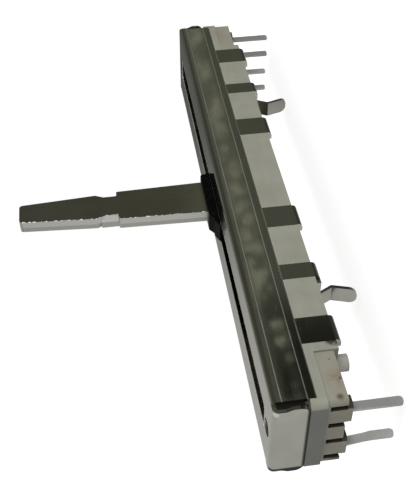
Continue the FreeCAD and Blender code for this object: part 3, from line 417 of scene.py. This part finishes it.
# Stem collar: the top of the slider's stem, in the same black acetal, moulded round the root of the lever
# above the slot. It is ramped at its near end. Its outline is given in places along the body and in heights.
def built(name, corners, faces, material):
    """Object with these corners and faces, in one material."""
    mesh = bpy.data.meshes.new(name)
    mesh.from_pydata(corners, [], faces)
    mesh.materials.append(material)
    return in_scene(name, mesh)


def prism(name, first, second, material):
    """Closed piece between two like outlines. Seen from beyond the second, they run counterclockwise."""
    count = len(first)
    ends = [tuple(range(count))[::-1], tuple(range(count, 2 * count))]
    sides = [(at, (at + 1) % count, count + (at + 1) % count, count + at) for at in range(count)]
    return built(name, first + second, ends + sides, material)


stem_half = 0.00106
stem_outline = [(-0.0034, 0.0073), (-0.0033, 0.0075), (-0.0024, 0.00815), (0.004, 0.00815), (0.0042, 0.00795),
                (0.0042, 0.0073)]
collar_sides = [[(x, side * stem_half, z) for x, z in stem_outline] for side in (-1, 1)]
collar = prism("stem_collar", *collar_sides, acetal.material)
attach(collar, "slider")

# Lever: blanked from 1.3 mm steel and nickel plated, then moulded into the slider. Its broad faces are
# rolled smooth. Its cut edges have a bright burnished band, a rough torn band and a row of bright burrs.
lever_low, lever_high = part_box("lever")
half_gauge = lever_high.y * 1000
steel = Finish("blanked_steel", Metallic=1.0)
spot = steel.place
y = spot.axes()[1]
broad = abs(y).fade(half_gauge - 0.012, half_gauge - 0.002)
shear = spot.stretched(7.0, 0.3, 7.0).grain(1.0, 3.0, 0.6)
torn = (y - 0.12 * shear).fade(-0.05, 0.12)
burr_row = spot.stretched(3.2, 0.0, 3.2).grain(1.0, 2.0).fade(0.52, 0.6)
burr_row = (1 - (y + half_gauge).fade(0.0, 0.16)) * burr_row
rolled = spot.stretched(16.0, 16.0, 0.25).grain(1.0, 3.0, 0.6)
stain = spot.grain(0.3, 4.0)
edge_tone = torn.colour((0.80, 0.795, 0.78, 1), (0.66, 0.655, 0.64, 1))
edge_tone = burr_row.colour(edge_tone, (0.92, 0.91, 0.88, 1))
broad_tone = stain.fade(0.3, 0.7).colour((0.60, 0.57, 0.49, 1), (0.50, 0.465, 0.38, 1))
steel.feed(Base_Color=broad.colour(edge_tone, broad_tone),
           Roughness=broad * (0.2 + 0.1 * rolled + 0.06 * stain)
           + (1 - broad) * (0.3 + 0.22 * torn + 0.1 * shear - 0.25 * burr_row))
steel.relief((1 - broad) * (shear * 0.8 + burr_row * 1.5) + broad * rolled * 0.05, 0.03, 0.7)
steel.dress("lever")


# Burrs: beads of torn steel along the front edge of the lever, left by the blanking die. They are uneven,
# and painted white in patches, as painted glints where they would catch the light.
def burr_tree():
    """Geometry nodes: small beads of uneven size along a line."""
    tree = bpy.data.node_groups.new("burr_row", "GeometryNodeTree")
    face = tree.interface
    for name, kind in (("Seed", "Geometry"), ("Pitch", "Float"), ("Radius", "Float"), ("Finish", "Material")):
        face.new_socket(name, in_out="INPUT", socket_type="NodeSocket" + kind)
    face.new_socket("Geometry", in_out="OUTPUT", socket_type="NodeSocketGeometry")
    nodes = tree.nodes
    links = tree.links
    given = nodes.new("NodeGroupInput").outputs
    line = nodes.new("GeometryNodeMeshToCurve")
    links.new(given["Seed"], line.inputs["Mesh"])
    even = nodes.new("GeometryNodeResampleCurve")
    even.mode = "LENGTH"
    links.new(line.outputs["Curve"], even.inputs["Curve"])
    links.new(given["Pitch"], even.inputs["Length"])
    bead = nodes.new("GeometryNodeMeshIcoSphere")
    bead.inputs["Subdivisions"].default_value = 2
    links.new(given["Radius"], bead.inputs["Radius"])
    chance = nodes.new("FunctionNodeRandomValue")
    chance.data_type = "BOOLEAN"
    chance.inputs["Probability"].default_value = 0.5
    chance.inputs["Seed"].default_value = 0
    sizes = nodes.new("FunctionNodeRandomValue")
    sizes.data_type = "FLOAT_VECTOR"
    sizes.inputs["Min"].default_value = (0.15, 0.25, 0.15)
    sizes.inputs["Max"].default_value = (1.0, 1.0, 1.5)
    sizes.inputs["Seed"].default_value = 0
    strew = nodes.new("GeometryNodeInstanceOnPoints")
    links.new(even.outputs["Curve"], strew.inputs["Points"])
    links.new(bead.outputs["Mesh"], strew.inputs["Instance"])
    links.new(chance.outputs["Value"], strew.inputs["Selection"])
    links.new(sizes.outputs["Value"], strew.inputs["Scale"])
    solid = nodes.new("GeometryNodeRealizeInstances")
    links.new(strew.outputs["Instances"], solid.inputs["Geometry"])
    coated = nodes.new("GeometryNodeSetMaterial")
    links.new(solid.outputs["Geometry"], coated.inputs["Geometry"])
    links.new(given["Finish"], coated.inputs["Material"])
    links.new(coated.outputs["Geometry"], nodes.new("NodeGroupOutput").inputs["Geometry"])
    return tree


burr = Finish("torn_burr", Metallic=0.1)
# Painted glints: white patches on the beads, where they would catch the light.
painted_burr_glint = burr.place.grain(1.5, 3.0).fade(0.35, 0.6)
burr.feed(Base_Color=painted_burr_glint.colour((0.5, 0.5, 0.49, 1), (1.0, 1.0, 0.98, 1)), Roughness=0.3 + 0.15 * painted_burr_glint)
burr_pitch = 0.00017
burr_radius = 0.00009
middle = (lever_low.x + lever_high.x) / 2
half_width_at_height = [(0.00242, 0.0083), (0.00219, 0.0173), (0.00149, 0.0175), (0.00149, 0.0188),
                        (0.00187, 0.0197), (0.00135, 0.0272)]
edge_line = [(middle - half_width, lever_low.y, height) for half_width, height in half_width_at_height]
burrs = grown_mesh("lever_burrs", burr_tree(),
                   {"Pitch": burr_pitch, "Radius": burr_radius, "Finish": burr.material},
                   edge_line, [(at, at + 1) for at in range(len(edge_line) - 1)])
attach(burrs, "slider")

# Notch floor: on the near edge of the lever, the floor of the notch slopes out to the rear, where the punch
# tore the steel. A wedge of the same steel fills the rear of the notch there.
notch_floor = middle - 0.00147
notch_slope = 0.00042
notch_inset = 0.000005
notch_reach = half_gauge / 1000 - notch_inset
notch_heights = (0.01738, 0.0192)
wedge_plan = [(notch_floor, -notch_reach), (notch_floor, notch_reach),
              (notch_floor - notch_slope, notch_reach)]
wedge_ends = [[(*corner, height) for corner in wedge_plan] for height in notch_heights]
wedge = prism("notch_wedge", *wedge_ends, steel.material)
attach(wedge, "slider")

# Contacts: two pieces of phosphor bronze strip with fine fingers, staked under the slider. The strip has
# rolled lines along the fingers and a brown tone where it was formed.
bronze = Finish("phosphor_bronze", Metallic=1.0)
spot = bronze.place
rolled = spot.stretched(0.4, 20.0, 20.0).grain(1.0, 3.0)
heat = spot.grain(0.9, 4.0)
bronze.feed(Base_Color=heat.fade(0.35, 0.7).colour((0.72, 0.46, 0.25, 1), (0.52, 0.31, 0.16, 1)),
            Roughness=0.24 + 0.16 * rolled)
bronze.relief(rolled, 0.004)
bronze.dress("wiper_front", "wiper_rear")

# Drag spring: a bowed leaf of blued spring steel in a pocket of the slider. It is rubbed bright in the
# middle, where it bears on the cover wall.
leaf = Finish("spring_steel_leaf", Metallic=1.0)
spot = leaf.place
rolled = spot.stretched(0.4, 20.0, 20.0).grain(1.0, 3.0)
bright = 1 - abs(spot.axes()[0]).fade(0.4, 1.2)
leaf.feed(Base_Color=bright.colour((0.30, 0.31, 0.34, 1), (0.62, 0.62, 0.62, 1)),
          Roughness=0.3 + 0.14 * rolled)
leaf.relief(rolled, 0.004)
leaf.dress("friction_spring")

# Studio: a small pale turntable and a white world. Light Path shows both as white to the camera, and to
# metal and glass, while the floor keeps the shadow. Grey cards round the part are seen only in reflections.
ground = cad_box[0][2]
floor_radius = 0.058
floor_sides = 96
floor_lift = 0.76
room_level = 0.5


def seen_directly(tree):
    """1 for rays from the camera, from a gloss or through glass."""
    path = tree.nodes.new("ShaderNodeLightPath")
    names = ("Is Camera Ray", "Is Glossy Ray", "Is Transmission Ray")
    kinds = [Signal(tree, path.outputs[name]) for name in names]
    total = kinds[0] + kinds[1] + kinds[2]
    return total.maths("MINIMUM", total, 1.0)


def bare_tree(material):
    material.use_nodes = True
    tree = material.node_tree
    tree.nodes.clear()
    return tree, tree.nodes.new("ShaderNodeOutputMaterial")


floor_paint = bpy.data.materials.new("pale_turntable")
tree, output = bare_tree(floor_paint)
seen = seen_directly(tree)
grit = seen.node("ShaderNodeTexNoise", {}, {"Scale": 900.0, "Detail": 2.0})
matt = seen.node("ShaderNodeBsdfDiffuse", {}, {
    "Color": grit.colour((0.5, 0.5, 0.5, 1), (0.52, 0.52, 0.52, 1))})
glow = seen.node("ShaderNodeEmission", {}, {"Color": (1, 1, 1, 1), "Strength": floor_lift})
lifted = seen.node("ShaderNodeAddShader", {}, {0: matt, 1: glow})
shown = seen.node("ShaderNodeMixShader", {}, {0: seen, 1: matt, 2: lifted})
tree.links.new(shown.socket, output.inputs["Surface"])
turns = [at * math.tau / floor_sides for at in range(floor_sides)]
rim = [(floor_radius * math.cos(turn), floor_radius * math.sin(turn), ground) for turn in turns]
turntable = built("turntable", rim, [tuple(range(floor_sides))], floor_paint)

card_reach = 0.022
front_reach = 0.009
card_height = 0.045


def card(name, corners, paint):
    """Card that only a gloss sees. Its paint makes a tone of a place in millimetres."""
    material = bpy.data.materials.new(name)
    tree, output = bare_tree(material)
    source = tree.nodes.new("ShaderNodeTexCoord")
    spot = Signal(tree, source.outputs["Object"]).stretched(1000, 1000, 1000)
    glow = spot.node("ShaderNodeEmission", {}, {"Color": paint(spot)})
    tree.links.new(glow.socket, output.inputs["Surface"])
    made = built(name, corners, [(0, 1, 2, 3)], material)
    made.visible_camera = False
    made.visible_diffuse = False
    made.visible_shadow = False
    made.visible_transmission = False


def upright(first, second):
    """Corners of a standing card between two places on the floor."""
    return [(*first, ground), (*second, ground), (*second, card_height), (*first, card_height)]


def olive_room(spot):
    """What the front reflects: a dim olive room, with a lighter band low down and darker to the near end."""
    x, y, z = spot.axes()
    cells = spot.node("ShaderNodeTexVoronoi", {"distance": "CHEBYCHEV"},
                      {"Vector": spot.stretched(0.85, 0.0, 0.6), "Scale": 1.0})
    patches = (1 - cells.fade(0.36, 0.46)) * spot.stretched(0.12, 0.0, 0.2).grain(1.0, 2.0).fade(0.28, 0.44)
    window, wall, upper = 0.24, 0.1, 0.062
    gaps = 0.04 + 0.075 * x.fade(-16.0, 2.0)
    band = (gaps + (window - gaps) * patches) * (0.35 + 0.65 * x.fade(-21.0, -17.0))
    foot = 0.085 * (0.22 + 0.78 * x.fade(-16.0, -6.0))
    tone = foot + (band - foot) * z.fade(2.0, 2.9)
    tone = tone + (wall - tone) * z.fade(3.7, 4.9)
    tone = tone + (upper - tone) * z.fade(6.0, 10.0)
    return tone.colour((0, 0, 0, 1), (0.95, 1.0, 0.76, 1))


def far_room(spot):
    """What the rear and the far end reflect: a room that darkens to the far end."""
    tone = spot.axes()[0].ramp([(-52.0, 0.45), (5.0, 0.38), (35.0, 0.17), (52.0, 0.11)])
    return tone.colour((0, 0, 0, 1), (1.0, 1.0, 0.95, 1))


def pale_wall(spot):
    """What the near end reflects: a pale wall."""
    return spot.axes()[2].fade(-4.0, 45.0).colour((0.57, 0.57, 0.565, 1), (0.66, 0.66, 0.655, 1))


def grey_mat(spot):
    """What looks down reflects: a dark mat in front of the part, grey behind it."""
    tone = spot.axes()[1].ramp([(-14.0, 0.075), (-4.5, 0.075), (-2.0, 0.3), (5.0, 0.46), (27.0, 0.5)])
    return tone.colour((0, 0, 0, 1), (1.0, 1.0, 0.95, 1))


def dim_ceiling(spot):
    """What looks up reflects: a dim ceiling."""
    return spot.axes()[1].fade(-15.0, 25.0).colour((0.09, 0.09, 0.075, 1), (0.22, 0.22, 0.2, 1))


left = cad_box[0][0] - card_reach
right = cad_box[1][0] + card_reach
front = cad_box[0][1] - front_reach
rear = cad_box[1][1] + card_reach
mat_height = ground + 0.0001
card("front_card", upright((left, front), (right, front)), olive_room)
card("mat_card", [(left, front, mat_height), (right, front, mat_height), (right, rear, mat_height),
                  (left, rear, mat_height)], grey_mat)
card("rear_card", upright((right, rear), (left, rear)), far_room)
card("near_card", upright((left, rear), (left, front)), pale_wall)
card("far_card", upright((right, front), (right, rear)), far_room)
card("ceiling_card", [(left, front, card_height), (right, front, card_height), (right, rear, card_height),
                      (left, rear, card_height)], dim_ceiling)

world = bpy.data.worlds.new("white_studio")
bpy.context.scene.world = world
world.use_nodes = True
tree = world.node_tree
tree.nodes.clear()
seen = seen_directly(tree)
level = seen * (1 - room_level) + room_level
sky = seen.node("ShaderNodeBackground", {}, {"Color": (1, 1, 1, 1), "Strength": level})
tree.links.new(sky.socket, tree.nodes.new("ShaderNodeOutputWorld").inputs["Surface"])


def soft_lamp(name, place, size, level):
    """Square lamp aimed at the middle of the part. At level 1 alone it lights a colour as written."""
    light = bpy.data.lights.new(name, "AREA")
    light.size = size
    place = Vector(place)
    light.energy = level * (math.pi * place.length) ** 2
    lamp = in_scene(name, light)
    lamp.location = place
    lamp.rotation_euler = (-place).to_track_quat("-Z", "Y").to_euler()


soft_lamp("key_lamp", (-0.08, -0.46, 0.14), 0.28, 0.55)
soft_lamp("fill_lamp", (0.1, 0.2, 0.42), 0.3, 0.3)

# Shades: a small black card inside each corner notch of the cover. The photo shows the notch black, and
# no daylight through the end of the slot. They belong to the studio, not to the part.
# The cards are painted shade: black sheets put where the notch has only shade.
notch_low = 0.00452
notch_high = 0.00684
notch_from = 0.0289
notch_to = 0.02964
notch_side = 0.00413
shade = bpy.data.materials.new("notch_shade")
tree, output = bare_tree(shade)
black = tree.nodes.new("ShaderNodeBsdfDiffuse")
black.inputs["Color"].default_value = (0.012, 0.012, 0.011, 1)
tree.links.new(black.outputs[0], output.inputs["Surface"])
notch_outline = [(notch_from, notch_low), (notch_to, notch_low), (notch_to, notch_high),
                 (notch_from, notch_high)]
shades = built(
    "notch_shades",
    [(end * x, side * notch_side, z) for end in (-1, 1) for side in (-1, 1) for x, z in notch_outline],
    [tuple(range(4 * at, 4 * at + 4)) for at in range(4)], shade)

# Camera: the photographer looked along the body from beyond its near end, a little above its top face,
# with the camera rolled on its side. The picture is 420 by 500.
image_height = 500
focal_pixels = 874
sensor_height = 24.0
camera_place = Vector((-69.32, -60.83, 18.16)) / 1000
camera_aim = Vector((-6.57, 0.0, 8.68)) / 1000
camera_roll = math.radians(-95.9)
lens = bpy.data.cameras.new("camera")
lens.sensor_fit = "VERTICAL"
lens.sensor_height = sensor_height
lens.lens = focal_pixels / image_height * sensor_height
lens.clip_start = 0.001
camera = in_scene("camera", lens)
aim = (camera_aim - camera_place).to_track_quat("-Z", "Y").to_matrix()
camera.matrix_world = Matrix.Translation(camera_place) @ (aim @ Matrix.Rotation(camera_roll, 3, "Z")).to_4x4()
bpy.context.scene.camera = camera
bpy.context.scene.view_settings.view_transform = "Standard"
